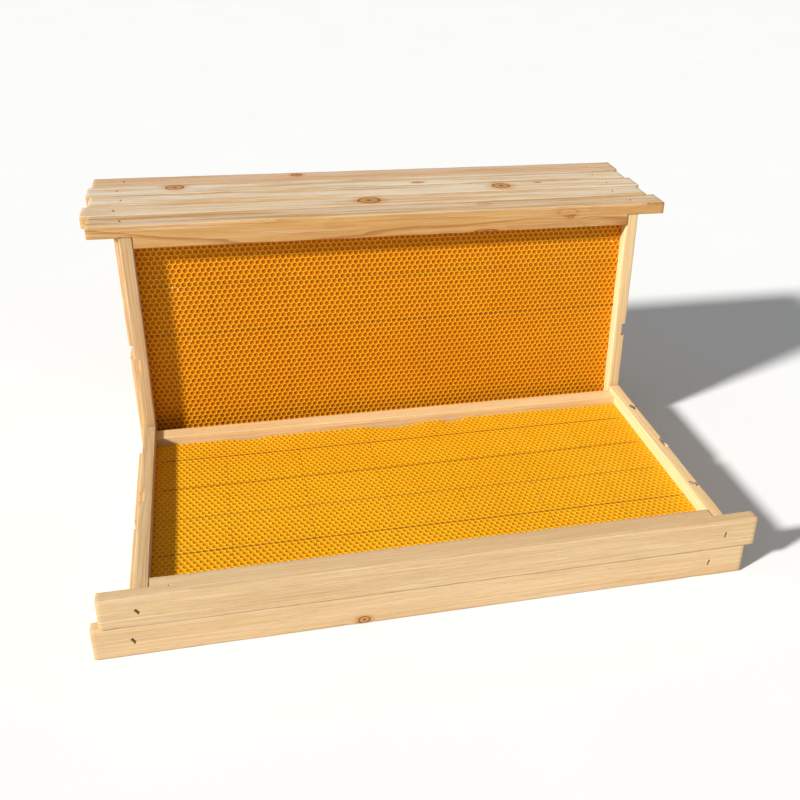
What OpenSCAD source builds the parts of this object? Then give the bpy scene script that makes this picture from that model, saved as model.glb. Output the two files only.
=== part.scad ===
// Seven wired beehive frames with wax foundation: five stand upright, two lie flat in front of them.
// Millimetres. +X runs along the top bars, +Y from the flat frames to the upright ones, +Z is up.
// The origin is on the floor, under the centre of the whole set.

/* [Top bar] */
// Length of a top bar over its two lugs
top_bar_l = 482; // [460:1:500]
// Width of a top bar
top_bar_w = 25; // [24.4:0.2:25.6]
// Full thickness of a top bar, between the side bars
top_bar_t = 19; // [17:0.5:22]
// Length of each lug outside its side bar
lug_l = 23.5; // [17:0.5:28]
// Thickness of each lug
lug_t = 10; // [8:0.5:12]
// Depth of the seat under a top bar that a side bar's upper end sits in
seat_d = 0.5; // [0.3:0.1:1]
// Gap between a side bar and the shoulder of the top bar
shoulder_gap = 0.6; // [0.2:0.2:1.4]
// Chamfer along the long edges of a top bar
top_bar_chamfer = 0.6; // [0.2:0.1:1]

/* [Side bars] */
// Height of a whole frame
frame_h = 228; // [220:1:240]
// Thickness of a side bar
side_bar_t = 10; // [9:0.5:12]
// How much narrower a side bar is than the top bar
side_bar_inset = 1.6; // [1.6:0.2:3]
// Chamfer along the long edges of a side bar
side_bar_chamfer = 0.5; // [0.2:0.1:1]
// Length of the notch in the outer face of a side bar
notch_l = 12; // [6:1:20]
// Depth of that notch
notch_d = 2.8; // [1:0.2:4]
// Distance of the notch's middle below the top of the frame
notch_drop = 121; // [112:1:128]

/* [Bottom bar] */
// Width of a bottom bar
bottom_bar_w = 15; // [12:0.5:18]
// Thickness of a bottom bar
bottom_bar_t = 14; // [9:0.5:16]
// Chamfer along the long edges of a bottom bar
bottom_bar_chamfer = 0.4; // [0.2:0.1:0.8]

/* [Foundation] */
// Thickness of a wax sheet
wax_t = 2; // [1.9:0.1:2.4]
// How far a wax sheet enters the groove of the top bar
wax_in_groove = 4; // [2:0.5:4.5]
// Width of the groove
groove_w = 3; // [2.8:0.1:4]
// Depth of the groove
groove_d = 5; // [5:0.5:7]
// Gap between a wax sheet and each side bar
wax_side_gap = 0.75; // [0.5:0.25:3]
// Gap between a wax sheet and the bottom bar
wax_bottom_gap = 1; // [0.5:0.25:2]

/* [Wires] */
// Diameter of the steel wires
wire_d = 0.5; // [0.4:0.05:0.5]
// Diameter of the wire holes in the side bars
wire_hole_d = 2.5; // [2:0.1:3]
// Number of runs of the laced wire, an even number
wire_runs = 4; // [4]
// Distance of the first run below the top of the frame
first_run_drop = 57; // [52:1:64]
// Distance between two runs
run_pitch = 43; // [41:0.5:45]
// Number of straight wires that stand in a wax sheet
standing_wires = 6; // [4:1:6]
// Distance between two standing wires
standing_wire_pitch = 60.6; // [50:0.2:64]

/* [Staples] */
// Length of a joint staple's crown
joint_crown_l = 4.6; // [4:0.2:5.4]
// Length of a joint staple's legs
joint_leg_l = 28; // [20:1:32]
// Thickness of a joint staple
joint_staple_t = 1.2; // [1:0.1:1.3]
// Depth of a joint staple's crown below the surface
joint_sink = 0.9; // [0.4:0.1:1.4]
// Length of a wire staple's crown
wire_crown_l = 7.5; // [6:0.5:8]
// Length of a wire staple's legs
wire_leg_l = 8; // [6:0.5:9]
// Thickness of a wire staple
wire_staple_t = 0.8; // [0.6:0.1:0.8]

/* [Layout] */
// Gap between the two flat frames
flat_gap = 0.4; // [0.4:0.1:1]
// How far the lower flat frame lies behind the upper one
flat_lower_back = 1; // [0:0.25:1]
// Gap between the flat frames and the first upright frame
upright_gap = 1.6; // [1.4:0.2:4]
// Distance between two upright frames, front face to front face
upright_pitch = 27; // [26.2:0.2:30]

/* [Hidden] */
$fn = 32;
cut = 0.1;
staple_fit = 0.03;
pocket_fit = 0.15;
// From a side bar's face to the centre of a bent wire that lies on it, and to the crown over that wire
wire_lift = 0.32;
crown_lift = 0.6;
// How far a wire staple's crown lies above the run that it holds
wire_staple_rise = 2;
// Every frame's name, how far its left end is from that of the upper flat frame, and how far inside the outer
// faces of its left and its right side bar its upper joint staples are
FRAMES = [
    ["flat_lower", -6.5, 3.4, 5],
    ["flat_upper", 0, 2, 1.6],
    ["upright_1", 0, 2, 3.2],
    ["upright_2", -6, 2, 3.8],
    ["upright_3", -2, 2.8, 3],
    ["upright_4", -5.5, 2.2, 3.5],
    ["upright_5", -2.5, 3.1, 2.6]
];
PIECES = [
    "top_bar", "left_side_bar", "right_side_bar", "bottom_bar",
    "foundation", "wires", "joint_staples", "wire_staples"
];

wood = [0.87, 0.72, 0.50];
wax = [0.93, 0.62, 0.10];
steel = [0.66, 0.66, 0.64];

// One frame, standing: its left end at X = 0, its front face at Y = 0, its foot at Z = 0
mid_y = top_bar_w / 2;
side_bar_w = top_bar_w - side_bar_inset;
side_bar_h = frame_h - lug_t + seat_d;
right_face = top_bar_l - lug_l;
bar_inner = lug_l + side_bar_t;
inner_l = top_bar_l - 2 * bar_inner;
shoulder = bar_inner + shoulder_gap;
back_edge = mid_y + side_bar_w / 2;
wax_bottom = bottom_bar_t + wax_bottom_gap;
wax_top = frame_h - top_bar_t + wax_in_groove;
run_y = mid_y - 0.3;
standing_wire_y = mid_y + 0.35;
last_run = wire_runs - 1;

// The whole set
flat_count = 2;
shifts = [for (f = FRAMES) f[1]];
upright_front = frame_h + upright_gap;
set_back = upright_front + (len(FRAMES) - flat_count - 1) * upright_pitch
    + max(top_bar_w, back_edge + crown_lift + wire_staple_t);
set_middle_x = (min(shifts) + max(shifts) + top_bar_l) / 2;
set_middle_y = set_back / 2;

function run_z(i) = frame_h - first_run_drop - i * run_pitch;

// The crowns were shot in a little askew, each in its own way
function crown_turn(i, on_left) = on_left ? 120 + 6 * sin(100 * i) : 77 + 8 * sin(140 * i);

// A bar along X with chamfered long edges, its left end at X = 0
module bar(l, w, t, c) {
    rotate([90, 0, 90])
        linear_extrude(l)
            polygon([
                [-w / 2 + c, -t / 2], [w / 2 - c, -t / 2], [w / 2, -t / 2 + c], [w / 2, t / 2 - c],
                [w / 2 - c, t / 2], [-w / 2 + c, t / 2], [-w / 2, t / 2 - c], [-w / 2, -t / 2 + c]
            ]);
}

// A staple with its crown along X, the crown's top at Z = 0 and its legs down. grow makes its hole.
module staple(crown_l, leg_l, t, grow = 0) {
    outer = crown_l / 2 + grow;
    inner = crown_l / 2 - t - grow;
    translate([0, t / 2 + grow, 0])
        rotate([90, 0, 0])
            linear_extrude(t + 2 * grow)
                polygon([
                    [-outer, grow], [outer, grow], [outer, -leg_l - grow], [inner, -leg_l - grow],
                    [inner, -t - grow], [-inner, -t - grow], [-inner, -leg_l - grow], [-outer, -leg_l - grow]
                ]);
}

// The four places of the joint staples: down through both lugs, and up through the bottom bar's ends
module at_joint_staples(i) {
    for (on_left = [true, false]) {
        top_x = on_left ? lug_l + FRAMES[i][2] : right_face - FRAMES[i][3];
        bottom_x = on_left ? lug_l + side_bar_t / 2 : right_face - side_bar_t / 2;
        translate([top_x, mid_y, frame_h - joint_sink])
            rotate([0, 0, crown_turn(i, on_left)])
                children();
        translate([bottom_x, mid_y, joint_sink])
            rotate([180, 0, 90])
                children();
    }
}

// The holes of the joint staples, each with the pocket that its crown sank into
module joint_staple_holes(i) {
    pocket_l = joint_crown_l + 2 * pocket_fit;
    pocket_w = joint_staple_t + 2 * pocket_fit;
    at_joint_staples(i) {
        staple(joint_crown_l, joint_leg_l, joint_staple_t, staple_fit);
        translate([-pocket_l / 2, -pocket_w / 2, -joint_staple_t / 2])
            cube([pocket_l, pocket_w, joint_sink + joint_staple_t]);
    }
}

// The two wire staples, in the back edge of the right side bar, beside the first and the last run
module wire_staples_at_edge(grow = 0) {
    for (i = [0, last_run])
        translate([right_face - side_bar_t / 2, back_edge, run_z(i) + wire_staple_rise])
            rotate([-90, i == 0 ? -55 : -79, 0])
                translate([0, 0, crown_lift + wire_staple_t])
                    staple(wire_crown_l, wire_leg_l + crown_lift, wire_staple_t, grow);
}

module top_bar(i) {
    color(wood)
        difference() {
            translate([0, mid_y, frame_h - top_bar_t / 2])
                bar(top_bar_l, top_bar_w, top_bar_t, top_bar_chamfer);
            for (x = [-cut, top_bar_l - shoulder])
                translate([x, -cut, frame_h - top_bar_t - cut])
                    cube([shoulder + cut, top_bar_w + 2 * cut, top_bar_t - lug_t + cut]);
            for (x = [lug_l, top_bar_l - shoulder])
                translate([x, -cut, frame_h - top_bar_t - cut])
                    cube([shoulder - lug_l, top_bar_w + 2 * cut, side_bar_h + top_bar_t - frame_h + cut]);
            translate([shoulder - cut, mid_y - groove_w / 2, frame_h - top_bar_t - cut])
                cube([top_bar_l - 2 * shoulder + 2 * cut, groove_w, groove_d + cut]);
            joint_staple_holes(i);
        }
}

// A side bar with its left face at X = x and its notch in the face at X = outer_x
module side_bar(i, x, outer_x) {
    difference() {
        translate([x + side_bar_t / 2, mid_y, 0])
            rotate([0, -90, 0])
                bar(side_bar_h, side_bar_w, side_bar_t, side_bar_chamfer);
        translate([outer_x - notch_d, -cut, frame_h - notch_drop - notch_l / 2])
            cube([2 * notch_d, top_bar_w + 2 * cut, notch_l]);
        translate([x - cut, mid_y - bottom_bar_w / 2, -cut])
            cube([side_bar_t + 2 * cut, bottom_bar_w, bottom_bar_t + cut]);
        for (run = [0 : last_run])
            translate([x - cut, run_y, run_z(run)])
                rotate([0, 90, 0])
                    cylinder(h = side_bar_t + 2 * cut, d = wire_hole_d);
        joint_staple_holes(i);
    }
}

module left_side_bar(i) {
    color(wood)
        side_bar(i, lug_l, lug_l);
}

module right_side_bar(i) {
    color(wood)
        difference() {
            side_bar(i, right_face - side_bar_t, right_face);
            wire_staples_at_edge(staple_fit);
        }
}

module bottom_bar(i) {
    color(wood)
        difference() {
            translate([lug_l, mid_y, bottom_bar_t / 2])
                bar(top_bar_l - 2 * lug_l, bottom_bar_w, bottom_bar_t, bottom_bar_chamfer);
            joint_staple_holes(i);
        }
}

module standing_wire_rods(from_z, to_z) {
    for (n = [0 : standing_wires - 1])
        translate([
            top_bar_l / 2 + (n - (standing_wires - 1) / 2) * standing_wire_pitch,
            standing_wire_y,
            from_z
        ])
            cylinder(h = to_z - from_z, d = wire_d);
}

module foundation() {
    color(wax)
        difference() {
            translate([bar_inner + wax_side_gap, mid_y - wax_t / 2, wax_bottom])
                cube([inner_l - 2 * wax_side_gap, wax_t, wax_top - wax_bottom]);
            for (run = [0 : last_run])
                translate([bar_inner, run_y, run_z(run)])
                    rotate([0, 90, 0])
                        cylinder(h = inner_l, d = wire_d);
            standing_wire_rods(wax_bottom - cut, wax_top + cut);
        }
}

// A straight length of wire between two points
module wire_length(a, b) {
    v = b - a;
    translate(a)
        rotate([0, acos(v[2] / norm(v)), atan2(v[1], v[0])])
            cylinder(h = norm(v), d = wire_d);
}

// The laced wire's corners: from under one staple, round the edge, across and back, to the other staple
function laced_corners() =
    let (
        left_x = lug_l - wire_lift,
        right_x = right_face + wire_lift,
        end_x = right_face - side_bar_t / 2 - 2,
        end_y = back_edge + wire_lift,
        first_z = run_z(0) + wire_staple_rise,
        last_z = run_z(last_run) + wire_staple_rise
    )
    concat(
        [[end_x, end_y, first_z], [right_x, end_y, first_z - 1]],
        [
            for (run = [0 : last_run])
                for (x = run % 2 == 0 ? [right_x, left_x] : [left_x, right_x])
                    [x, run_y, run_z(run)]
        ],
        [[right_x, end_y, last_z - 1], [end_x, end_y, last_z]]
    );

module wires() {
    corners = laced_corners();
    color(steel) {
        for (n = [0 : len(corners) - 2])
            wire_length(corners[n], corners[n + 1]);
        for (n = [1 : len(corners) - 2])
            translate(corners[n])
                sphere(d = wire_d * 1.12);
        standing_wire_rods(wax_bottom, wax_top);
    }
}

module joint_staples(i) {
    color(steel)
        at_joint_staples(i)
            staple(joint_crown_l, joint_leg_l, joint_staple_t);
}

module wire_staples() {
    color(steel)
        wire_staples_at_edge();
}

// Puts a standing frame in its place in the set. A flat frame lies on its front face, top bar forward.
module in_place(i) {
    x = FRAMES[i][1] - set_middle_x;
    if (i < flat_count)
        translate([
            x,
            frame_h - set_middle_y + (i == 0 ? flat_lower_back : 0),
            i * (top_bar_w + flat_gap)
        ])
            rotate([90, 0, 0])
                children();
    else
        translate([x, upright_front - set_middle_y + (i - flat_count) * upright_pitch, 0])
            children();
}

for (i = [0 : len(FRAMES) - 1])
    in_place(i) {
        name = FRAMES[i][0];
        top_bar(i);
        left_side_bar(i);
        right_side_bar(i);
        bottom_bar(i);
        foundation();
        wires();
        joint_staples(i);
        wire_staples();
    }
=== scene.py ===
"""Wired beehive frames with embossed wax sheets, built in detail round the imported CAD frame."""

import math

import bmesh
import bpy
import numpy as np
from mathutils import Euler, Matrix, Vector, noise


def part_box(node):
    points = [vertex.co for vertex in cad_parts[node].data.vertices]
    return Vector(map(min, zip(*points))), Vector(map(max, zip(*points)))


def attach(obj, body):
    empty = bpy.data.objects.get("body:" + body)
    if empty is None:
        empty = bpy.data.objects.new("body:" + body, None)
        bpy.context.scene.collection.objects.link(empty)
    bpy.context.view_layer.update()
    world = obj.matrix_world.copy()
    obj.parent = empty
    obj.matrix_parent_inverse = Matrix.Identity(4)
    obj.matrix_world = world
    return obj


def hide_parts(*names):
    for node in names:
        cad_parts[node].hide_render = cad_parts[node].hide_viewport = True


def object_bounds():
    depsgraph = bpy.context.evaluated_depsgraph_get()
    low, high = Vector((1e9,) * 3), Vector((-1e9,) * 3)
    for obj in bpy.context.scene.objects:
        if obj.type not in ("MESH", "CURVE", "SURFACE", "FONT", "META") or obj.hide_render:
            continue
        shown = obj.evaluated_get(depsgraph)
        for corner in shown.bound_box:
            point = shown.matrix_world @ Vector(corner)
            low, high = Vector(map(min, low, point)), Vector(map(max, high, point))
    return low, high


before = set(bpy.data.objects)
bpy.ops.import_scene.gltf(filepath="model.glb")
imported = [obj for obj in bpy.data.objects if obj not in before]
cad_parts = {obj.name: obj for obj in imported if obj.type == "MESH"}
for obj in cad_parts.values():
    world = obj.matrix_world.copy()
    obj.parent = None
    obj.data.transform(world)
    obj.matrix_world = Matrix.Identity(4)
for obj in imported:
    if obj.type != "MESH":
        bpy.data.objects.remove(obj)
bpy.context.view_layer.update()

MM = 0.001
FRAMES = ["flat_lower", "flat_upper", "upright_1", "upright_2", "upright_3", "upright_4", "upright_5"]
BARS = ("top_bar", "left_side_bar", "right_side_bar", "bottom_bar")
scene = bpy.context.scene

# ---------------- sizes of one standing frame, in mm
H = 228.0  # height
TOP_T = 19.0  # full thickness of the top bar
LUG = 23.5  # length of a lug
LUG_T = 10.0  # thickness of a lug
SHOULDER = 34.1  # where the full thickness starts
SEAT_Z = 218.5  # upper end of a side bar
GROOVE = (11.0, 14.0, 5.0)  # front and back of the groove, and its depth
NOTCH = (101.0, 113.0, 2.8)  # lower and upper end of a side bar's notch, and its depth
SLOT = (5.0, 20.0, 14.0)  # front, back and height of a side bar's slot
MID_Y = 12.5  # middle of every bar, front to back
WIRE_HOLE_R = 1.25
RUN_Z = [171.0, 128.0, 85.0, 42.0]  # heights of the laced wire's runs
RUN_Y = 12.2  # where a run passes through the side bars
SUNK_Y = {"flat": 13.40, "upright": 11.99}  # a run's middle in the wax, by kind of frame
STAND_X = [241 + (n - 2.5) * 60.6 for n in range(6)]  # the standing wires
STAND_Y = {"flat": 12.9, "upright": 12.08}  # a standing wire's middle, by kind of frame
CELL = 4.65  # width of a wax cell
SPREAD = 0.5  # how much nearer a pressed sheet comes to each side bar


def placement(name):
    """From a frame's own millimetres (X along, Y front to back, Z up as it stands) to the row frame."""
    lo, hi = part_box(name + "_top_bar")
    if name.startswith("flat"):
        place = Matrix(((1, 0, 0, lo.x), (0, 0, -1, lo.y + H * MM), (0, 1, 0, lo.z), (0, 0, 0, 1)))
    else:
        place = Matrix.Translation((lo.x, lo.y, hi.z - H * MM))
    return place @ Matrix.Scale(MM, 4)


PLACE = {name: placement(name) for name in FRAMES}


def own_box(name, piece):
    """A CAD node's box in its frame's own millimetres."""
    back = PLACE[name].inverted()
    a, b = (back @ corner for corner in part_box(f"{name}_{piece}"))
    return [min(p, q) for p, q in zip(a, b)], [max(p, q) for p, q in zip(a, b)]


def kind_of(name):
    """Whether a frame is flat or upright."""
    return name.split("_")[0]


def wobble(x, seed, size):
    """Smooth noise from about -1 to 1 along one number."""
    return noise.noise(Vector((x / size, seed * 7.31, seed * 3.17 + 0.5))) * 1.6


# ---------------- node trees
class Tree:
    """Short names for the shader nodes used here."""

    def __init__(self, name):
        self.material = bpy.data.materials.new(name)
        self.material.use_nodes = True
        self.tree = self.material.node_tree
        self.tree.nodes.clear()

    def node(self, kind, **settings):
        made = self.tree.nodes.new(kind)
        for key, value in settings.items():
            setattr(made, key, value)
        return made

    def feed(self, socket, value):
        if isinstance(value, bpy.types.NodeSocket):
            self.tree.links.new(value, socket)
        elif value is not None:
            held = socket.default_value
            if hasattr(held, "__len__") and len(held) == 4 and len(value) == 3:
                value = (*value, 1)
            socket.default_value = value

    def math(self, operation, a, b=None, c=None, clamp=False):
        made = self.node("ShaderNodeMath", operation=operation, use_clamp=clamp)
        for socket, value in zip(made.inputs, (a, b, c)):
            self.feed(socket, value)
        return made.outputs[0]

    def vector(self, operation, a, b=None):
        made = self.node("ShaderNodeVectorMath", operation=operation)
        self.feed(made.inputs[0], a)
        if b is not None:
            self.feed(made.inputs[1], b)
        return made.outputs["Value"] if operation == "LENGTH" else made.outputs[0]

    def noise(self, vector, scale, detail=2.0, rough=0.5, colour=False):
        made = self.node("ShaderNodeTexNoise", noise_dimensions="3D")
        self.feed(made.inputs["Vector"], self.vector("MULTIPLY", vector, scale))
        made.inputs["Scale"].default_value = 1.0
        made.inputs["Detail"].default_value = detail
        made.inputs["Roughness"].default_value = rough
        return made.outputs[1 if colour else 0]

    def ranged(self, kind, value, low, high, to):
        made = self.node("ShaderNodeMapRange", interpolation_type=kind)
        for socket, given in zip(made.inputs, (value, low, high, *to)):
            self.feed(socket, given)
        return made.outputs[0]

    def smooth(self, value, low, high, to=(0.0, 1.0)):
        return self.ranged("SMOOTHSTEP", value, low, high, to)

    def linear(self, value, low, high, to=(0.0, 1.0)):
        return self.ranged("LINEAR", value, low, high, to)

    def times(self, a, b, clamp=False):
        return self.math("MULTIPLY", a, b, clamp=clamp)

    def plus(self, a, b, clamp=False):
        return self.math("ADD", a, b, clamp=clamp)

    def mix(self, share, a, b, blend="MIX"):
        made = self.node("ShaderNodeMix", data_type="RGBA", blend_type=blend)
        self.feed(made.inputs["Factor"], share)
        self.feed(made.inputs[6], a)
        self.feed(made.inputs[7], b)
        return made.outputs[2]

    def attribute(self, name):
        return self.node("ShaderNodeAttribute", attribute_name=name).outputs

    def scaled(self, vector, amount):
        made = self.node("ShaderNodeVectorMath", operation="SCALE")
        self.feed(made.inputs[0], vector)
        self.feed(made.inputs["Scale"], amount)
        return made.outputs[0]

    def split(self, vector):
        made = self.node("ShaderNodeSeparateXYZ")
        self.feed(made.inputs[0], vector)
        return made.outputs

    def bump(self, height, distance, strength):
        made = self.node("ShaderNodeBump")
        self.feed(made.inputs["Height"], height)
        made.inputs["Distance"].default_value = distance
        made.inputs["Strength"].default_value = strength
        return made.outputs[0]

    def finish(self, colour, roughness, normal=None, **sockets):
        shader = self.node("ShaderNodeBsdfPrincipled")
        self.feed(shader.inputs["Base Color"], colour)
        self.feed(shader.inputs["Roughness"], roughness)
        if normal is not None:
            self.feed(shader.inputs["Normal"], normal)
        for name, value in sockets.items():
            self.feed(shader.inputs[name.replace("_", " ")], value)
        out = self.node("ShaderNodeOutputMaterial")
        self.tree.links.new(shader.outputs[0], out.inputs[0])
        return self.material


# ---------------- the boards' own looks
# Colours of a board's earlywood and latewood
PALE = ((0.77, 0.575, 0.335), (0.60, 0.37, 0.165))
HONEY = ((0.69, 0.42, 0.155), (0.45, 0.205, 0.055))
WARM = ((0.75, 0.52, 0.26), (0.50, 0.265, 0.09))
PINKISH = ((0.70, 0.46, 0.25), (0.49, 0.25, 0.10))
GOLD = ((0.92, 0.71, 0.40), (0.77, 0.49, 0.20))
TAN = ((0.72, 0.53, 0.29), (0.46, 0.285, 0.12))
SAND = ((0.71, 0.51, 0.28), (0.52, 0.31, 0.13))

# Each board is cut from its own place in a log. For a board: where the pith is along its two short axes, its
# colours, how bold its rings are, how bleached its upper face is, and how wavy its grain is
LOOKS = {
    "flat_upper_top_bar": ((60, 262), PALE, 0.42, 0.0, 0.35),
    "flat_lower_top_bar": ((-50, 172), PALE, 0.45, 0.0, 0.5),
    "upright_1_top_bar": ((46, 200), HONEY, 0.95, 0.6, 0.9),
    "upright_2_top_bar": ((-30, 150), WARM, 0.85, 0.75, 0.8),
    "upright_3_top_bar": ((14, 120), WARM, 0.85, 0.95, 0.9),
    "upright_4_top_bar": ((40, 140), WARM, 0.95, 0.95, 0.9),
    "upright_5_top_bar": ((-25, 170), PINKISH, 0.7, 0.35, 0.6),
    "flat_upper_left_side_bar": ((60, -30), TAN, 0.9, 0.0, 1.0),
    "flat_upper_right_side_bar": ((420, -20), GOLD, 0.6, 0.0, 0.6),
    "flat_upper_bottom_bar": ((-20, 40), GOLD, 0.8, 0.0, 0.4),
    "upright_1_left_side_bar": ((70, 30), SAND, 0.9, 0.0, 0.6),
    "upright_1_right_side_bar": ((510, 40), GOLD, 0.7, 0.0, 0.6),
}

# Knots: board, place along it, across it and through it, half sizes in the same order (0: right through), and
# darkness
KNOTS = [
    ("upright_2_top_bar", 232.8, 14.0, H, 9.5, 7.0, 0, 1.0),
    ("upright_3_top_bar", 353.5, 14.5, H, 8.0, 6.6, 0, 1.0),
    ("upright_4_top_bar", 72.0, 17.5, H, 7.6, 6.0, 0, 0.95),
    ("upright_5_top_bar", 175.8, 17.5, H, 4.2, 3.8, 0, 1.2),
    ("upright_4_top_bar", 283.7, 6.5, H, 5.0, 2.2, 0, 0.9),
    ("upright_3_top_bar", 390.0, 20.0, H, 2.6, 1.8, 0, 0.8),
    ("upright_1_top_bar", 393.0, 0, H - 5.4, 10.0, 0, 3.0, 0.14),
    ("upright_1_top_bar", 395.5, 0, H - 9.3, 3.0, 0, 1.0, 0.85),
    ("upright_1_top_bar", 320.0, 0, H - 18.2, 9.0, 0, 1.3, 1.0),
    ("upright_1_top_bar", 322.0, 18.0, H, 6.0, 3.0, 0, 0.35),
    ("upright_1_top_bar", 475.0, 0.4, H - 0.2, 9.0, 1.0, 1.0, 1.0),
    ("flat_lower_top_bar", 184.0, 3.0, H, 4.2, 2.8, 0, 1.2),
]


def pick(seed):
    """Numbers from 0 to 1 that belong to a board."""
    return [(math.sin(seed * 12.9898 + k * 78.233) * 43758.5453) % 1 for k in range(8)]


BOARDS = [f"{name}_{piece}" for name in FRAMES for piece in BARS]


BOARD_STEP = 1000.0  # how far apart two boards lie along the log, so that no two share their grain


def look(board):
    """A board's row of LOOKS, or one made from its number if it has none there."""
    if board in LOOKS:
        return LOOKS[board]
    n = pick(BOARDS.index(board) + 1)
    colours = (PALE, WARM, PINKISH, PALE)[int(n[0] * 4)]
    sign = 1 if n[1] > 0.5 else -1
    if board.endswith("side_bar"):
        pith = ((27 if "left" in board else 452) + sign * (20 + 60 * n[2]), 12 + 70 * (n[3] - 0.5))
    elif board.endswith("bottom_bar"):
        pith = (12 + sign * (15 + 50 * n[2]), 7 + 80 * (n[3] - 0.5))
    else:
        pith = (12 + sign * (20 + 60 * n[2]), 220 + 120 * (n[3] - 0.5))
    return pith, colours, 0.6 + 0.4 * n[4], 0.1 * n[5], 0.4 + 0.6 * n[6]


BLEACHED = (0.77, 0.705, 0.59)
FLECK = (0.33, 0.31, 0.33)
RESIN_DASH = (0.30, 0.17, 0.08)
# A painted sheen: the pale colour laid along fibres where they would shine
PAINTED_SHEEN_COLOUR = (0.92, 0.80, 0.60)
HEART = ((0.40, 0.145, 0.03), (0.68, 0.36, 0.11))
EYE = (0.10, 0.035, 0.012)
OUTLINE = (0.095, 0.036, 0.012)
# These darken what is under them
STREAK_TINT = (0.80, 0.64, 0.46)
FIBRE_TINT = (0.66, 0.52, 0.40)
RESIN_TINT = (0.66, 0.42, 0.22)
HALO_TINT = (0.90, 0.60, 0.33)
END_SPECK_TINT = (0.62, 0.46, 0.30)
END_TINT = (0.86, 0.72, 0.56)


def knot_fields(t, p, near, knots):
    """How far the knots bend the rings, how far the nearest one is in its own sizes, and how dark it is."""
    bend, nearest, dark = 0.0, 9.0, 0.0
    for board, s, u, v, a, b, c, level in knots:
        pith = look(board)[0]
        centre = (s + BOARD_STEP * BOARDS.index(board), u - pith[0], v - pith[1])
        reach = tuple(1 / k if k else 0.0 for k in (a, b, c))
        uneven = t.vector("ADD", p, t.vector("MULTIPLY", near, (2.4, 1.2, 1.2)))
        d = t.vector("LENGTH", t.vector("MULTIPLY", t.vector("SUBTRACT", uneven, centre), reach))
        fade = t.math("EXPONENT", t.times(t.times(d, d), -0.35))
        bend = t.plus(bend, t.times(fade, 1.5))
        nearest = t.math("MINIMUM", nearest, d)
        dark = t.math("MAXIMUM", dark, t.smooth(d, 3.0, 2.2, (0.0, level)))
    return bend, nearest, dark


def paint_knots(t, colour, nearest, dark):
    """The colour with each knot's halo, ringed heart, dark eye and dark outline, and the outline itself."""
    halo = t.times(t.smooth(nearest, 2.2, 1.0), dark)
    heart = t.times(t.smooth(nearest, 1.0, 0.85), dark, clamp=True)
    outline = t.times(t.smooth(nearest, 0.78, 0.92), t.smooth(nearest, 1.14, 1.0))
    outline = t.times(outline, dark, clamp=True)
    eye = t.times(t.smooth(nearest, 0.36, 0.16), dark, clamp=True)
    heart_rings = t.math("FRACT", t.times(nearest, 3.4))
    colour = t.mix(t.times(halo, 0.75), colour, HALO_TINT, "MULTIPLY")
    colour = t.mix(t.times(heart, 0.88), colour, t.mix(heart_rings, *HEART))
    colour = t.mix(t.times(eye, 0.85), colour, EYE)
    return t.mix(t.times(outline, 0.82), colour, OUTLINE), outline


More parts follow.
